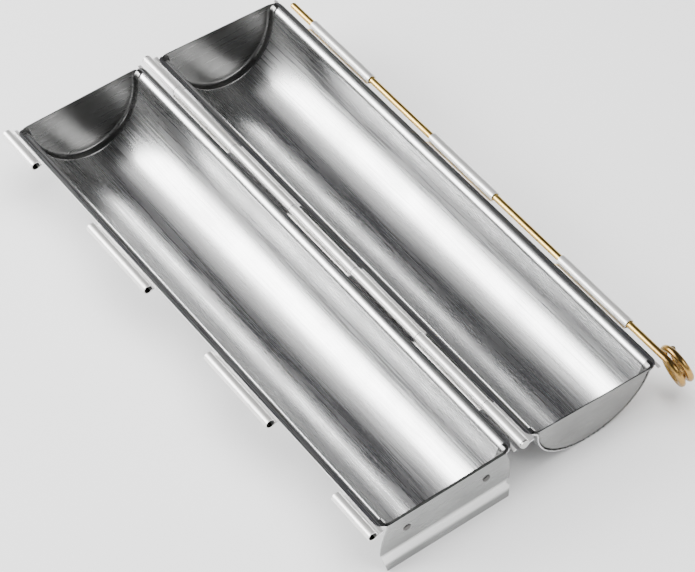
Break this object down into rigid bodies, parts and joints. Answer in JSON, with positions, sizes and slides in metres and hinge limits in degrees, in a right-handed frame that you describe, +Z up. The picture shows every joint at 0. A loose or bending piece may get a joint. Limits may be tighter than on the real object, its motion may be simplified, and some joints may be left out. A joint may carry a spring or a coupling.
{
  "type": "hinged round loaf pan",
  "caption": "Hinged round loaf pan in bright sheet steel, lying open: two half-round troughs, rolled-knuckle hinge and latch, a brass locking rod with a coiled eye, and a plate foot at one end.",
  "frame": {"origin": "on the table, under the middle of the bounding box of the pan lying open", "axes": "+Y along the pan away from the rod's handle, +X from the base towards the opened lid, +Z up"},
  "size_m": [0.2332, 0.4132, 0.0483],
  "materials": {
    "trough_sheet": "bright sheet with a fine lengthwise grain and light oven wear",
    "end_sheet": "satin sheet",
    "strip_sheet": "bright rolled sheet",
    "foot_sheet": "satin sheet, brighter on the bend",
    "pin_wire": "drawn wire",
    "rod_wire": "drawn brass wire, darkened by heat in the coil",
    "rivet": "dark"
  },
  "bodies": {
    "base": {"base_trough": "trough_sheet", "base_end_near": "end_sheet", "base_end_far": "end_sheet", "base_latch_strip": "strip_sheet", "base_hinge_strip": "strip_sheet", "hinge_pin": "pin_wire", "foot": "foot_sheet", "foot_rivets": "rivet"},
    "lid": {"lid_trough": "trough_sheet", "lid_end_near": "end_sheet", "lid_end_far": "end_sheet", "lid_hinge_strip": "strip_sheet", "lid_latch_strip": "strip_sheet"},
    "rod": {"locking_rod": "rod_wire"}
  },
  "joints": [
    {"name": "lid_hinge", "type": "hinge", "parent": "base", "child": "lid", "pos_m": [-0.0063, 0.00558, 0.045], "axis": [0, -1, 0], "range_deg": [0, 183.11]},
    {"name": "rod_slide", "type": "slide", "parent": "lid", "child": "rod", "axis": [0, -1, 0], "range_m": [0, 0.345]}
  ]
}
